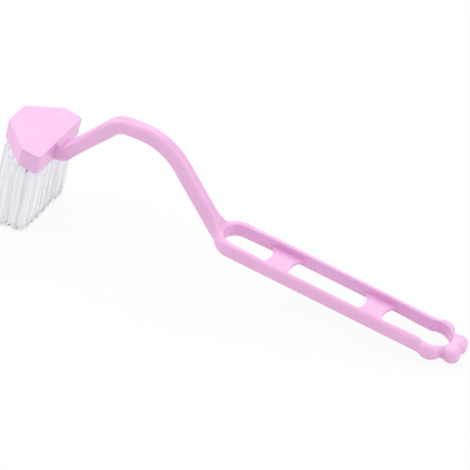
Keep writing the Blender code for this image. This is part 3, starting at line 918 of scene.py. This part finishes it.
def ramp(nodes, links, factor, low, high):
    """A colour ramp between two colours."""
    node = nodes.new("ShaderNodeValToRGB")
    node.color_ramp.elements[0].position = NOISE_LOW
    node.color_ramp.elements[0].color = low
    node.color_ramp.elements[1].position = NOISE_HIGH
    node.color_ramp.elements[1].color = high
    links.new(factor, node.inputs["Fac"])
    return node.outputs["Color"]


def map_range(nodes, links, factor, limits):
    """A number that varies between two limits."""
    node = nodes.new("ShaderNodeMapRange")
    node.inputs["From Min"].default_value = NOISE_LOW
    node.inputs["From Max"].default_value = NOISE_HIGH
    node.inputs["To Min"].default_value = limits[0]
    node.inputs["To Max"].default_value = limits[1]
    links.new(factor, node.inputs["Value"])
    return node.outputs["Result"]


def bump(nodes, links, height, depth, shader):
    node = nodes.new("ShaderNodeBump")
    node.inputs["Strength"].default_value = 1.0
    node.inputs["Distance"].default_value = depth
    links.new(height, node.inputs["Height"])
    links.new(node.outputs["Normal"], shader.inputs["Normal"])


def pink_plastic():
    material, nodes, links = new_material("pink_plastic_finish")
    shader = nodes["Principled BSDF"]
    clouds = noise(nodes, links, PINK_CLOUDS)
    links.new(ramp(nodes, links, clouds, PINK_LOW, PINK_HIGH), shader.inputs["Base Color"])
    flow = noise(nodes, links, PINK_FLOW)
    links.new(map_range(nodes, links, flow, PINK_ROUGHNESS), shader.inputs["Roughness"])
    shader.inputs["IOR"].default_value = PINK_IOR
    shader.inputs["Specular IOR Level"].default_value = PINK_SPECULAR
    bump(nodes, links, noise(nodes, links, PINK_GRAIN), PINK_GRAIN_DEPTH, shader)
    return material


def bristle_nylon():
    material, nodes, links = new_material("bristle_nylon_finish")
    shader = nodes["Principled BSDF"]
    streaks = noise(nodes, links, NYLON_STREAKS)
    links.new(ramp(nodes, links, streaks, NYLON_LOW, NYLON_HIGH), shader.inputs["Base Color"])
    links.new(map_range(nodes, links, streaks, NYLON_ROUGHNESS), shader.inputs["Roughness"])
    shader.inputs["IOR"].default_value = NYLON_IOR
    bump(nodes, links, noise(nodes, links, NYLON_GRAIN), NYLON_GRAIN_DEPTH, shader)
    return material


def anchor_steel():
    material, nodes, links = new_material("anchor_steel_finish")
    shader = nodes["Principled BSDF"]
    shader.inputs["Metallic"].default_value = 1.0
    drawn = noise(nodes, links, STEEL_GRAIN)
    links.new(ramp(nodes, links, drawn, STEEL_LOW, STEEL_HIGH), shader.inputs["Base Color"])
    links.new(map_range(nodes, links, drawn, STEEL_ROUGHNESS), shader.inputs["Roughness"])
    bump(nodes, links, drawn, STEEL_GRAIN_DEPTH, shader)
    return material


def finish(piece, material):
    piece.data.materials.clear()
    piece.data.materials.append(material)


# Studio

def seen_or_reflected(nodes, links):
    """1 for rays from the camera, in reflections and through clear material, else 0."""
    path = nodes.new("ShaderNodeLightPath")
    total = path.outputs["Is Camera Ray"]
    for name in ("Is Glossy Ray", "Is Transmission Ray"):
        add = nodes.new("ShaderNodeMath")
        add.operation = "MAXIMUM"
        links.new(total, add.inputs[0])
        links.new(path.outputs[name], add.inputs[1])
        total = add.outputs["Value"]
    return total


def make_floor():
    """A white floor that shows as white and keeps a faint shadow of the brush."""
    mesh = bpy.data.meshes.new("floor")
    side = FLOOR_HALF_SIDE
    corners = [(-side, -side, 0), (side, -side, 0), (side, side, 0), (-side, side, 0)]
    mesh.from_pydata(corners, [], [(0, 1, 2, 3)])
    floor = bpy.data.objects.new("floor", mesh)
    bpy.context.scene.collection.objects.link(floor)

    material, nodes, links = new_material("floor_white")
    nodes.clear()
    output = nodes.new("ShaderNodeOutputMaterial")
    matt = nodes.new("ShaderNodeBsdfDiffuse")
    matt.inputs["Color"].default_value = (*3 * (FLOOR_ALBEDO,), 1)
    glow = nodes.new("ShaderNodeEmission")
    glow.inputs["Strength"].default_value = WHITE_GLOW
    mix = nodes.new("ShaderNodeMixShader")
    share = nodes.new("ShaderNodeMath")
    share.operation = "MULTIPLY"
    share.inputs[1].default_value = FLOOR_GLOW_SHARE
    links.new(seen_or_reflected(nodes, links), share.inputs[0])
    links.new(share.outputs["Value"], mix.inputs["Fac"])
    links.new(matt.outputs["BSDF"], mix.inputs[1])
    links.new(glow.outputs["Emission"], mix.inputs[2])
    links.new(mix.outputs["Shader"], output.inputs["Surface"])
    finish(floor, material)


def make_world():
    """White where it is seen, reflected or looked through, and softer as a light."""
    world = bpy.data.worlds.new("studio")
    world.use_nodes = True
    nodes, links = world.node_tree.nodes, world.node_tree.links
    background = nodes["Background"]
    background.inputs["Color"].default_value = (1, 1, 1, 1)
    strength = nodes.new("ShaderNodeMapRange")
    strength.inputs["To Min"].default_value = SKY_LIGHT
    strength.inputs["To Max"].default_value = WHITE_GLOW
    links.new(seen_or_reflected(nodes, links), strength.inputs["Value"])
    links.new(strength.outputs["Result"], background.inputs["Strength"])
    bpy.context.scene.world = world


def make_lamp(name, direction, distance, size, power):
    """A square lamp that faces the brush."""
    light = bpy.data.lights.new(name, "AREA")
    light.shape = "SQUARE"
    light.size = size
    light.energy = power
    lamp = bpy.data.objects.new(name, light)
    bpy.context.scene.collection.objects.link(lamp)
    away = Vector(direction).normalized()
    lamp.location = away * distance
    lamp.rotation_mode = "QUATERNION"
    lamp.rotation_quaternion = away.to_track_quat("Z", "Y")


def make_camera():
    back = Vector((math.sin(CAMERA_AZIMUTH) * math.cos(CAMERA_ELEVATION),
                   -math.cos(CAMERA_AZIMUTH) * math.cos(CAMERA_ELEVATION),
                   math.sin(CAMERA_ELEVATION)))
    data = bpy.data.cameras.new("camera")
    data.sensor_width = SENSOR_WIDTH
    data.lens = SENSOR_WIDTH * FOCAL_PIXELS / PICTURE_SIDE
    data.clip_end = CAMERA_FAR
    camera = bpy.data.objects.new("camera", data)
    bpy.context.scene.collection.objects.link(camera)
    camera.location = CAMERA_AIM + back * CAMERA_DISTANCE
    camera.rotation_mode = "QUATERNION"
    camera.rotation_quaternion = back.to_track_quat("Z", "Y") @ Quaternion((0, 0, 1), CAMERA_ROLL)
    bpy.context.scene.camera = camera


def main():
    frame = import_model()
    cad_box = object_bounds()
    mounts = {mount["name"]: mount for mount in frame["record"]["mounts"]}
    grip = grip_frame(mounts)
    head = head_frame(mounts)
    anchors = sorted(name for name in frame["nodes"] if name.startswith("anchor_"))
    mouths = []
    for name in anchors:
        low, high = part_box(name)
        mouths.append(head.inverted() @ ((low + high) / 2) - Vector((0, 0, ANCHOR_TO_MOUTH)))

    moulding = make_moulding(grip, head, mouths)
    finish(moulding, pink_plastic())
    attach(moulding, "root")
    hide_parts("handle")

    nylon = bristle_nylon()
    for number, tuft in enumerate(make_tufts(head, mouths, cad_box), 1):
        finish(tuft, nylon)
        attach(tuft, "root")
        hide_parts(f"tuft_{number:02d}")

    steel = anchor_steel()
    for name in anchors:
        finish(frame["nodes"][name], steel)

    make_floor()
    make_world()
    for lamp in LAMPS:
        make_lamp(*lamp)
    make_camera()
    bpy.context.scene.view_settings.view_transform = "Standard"


main()
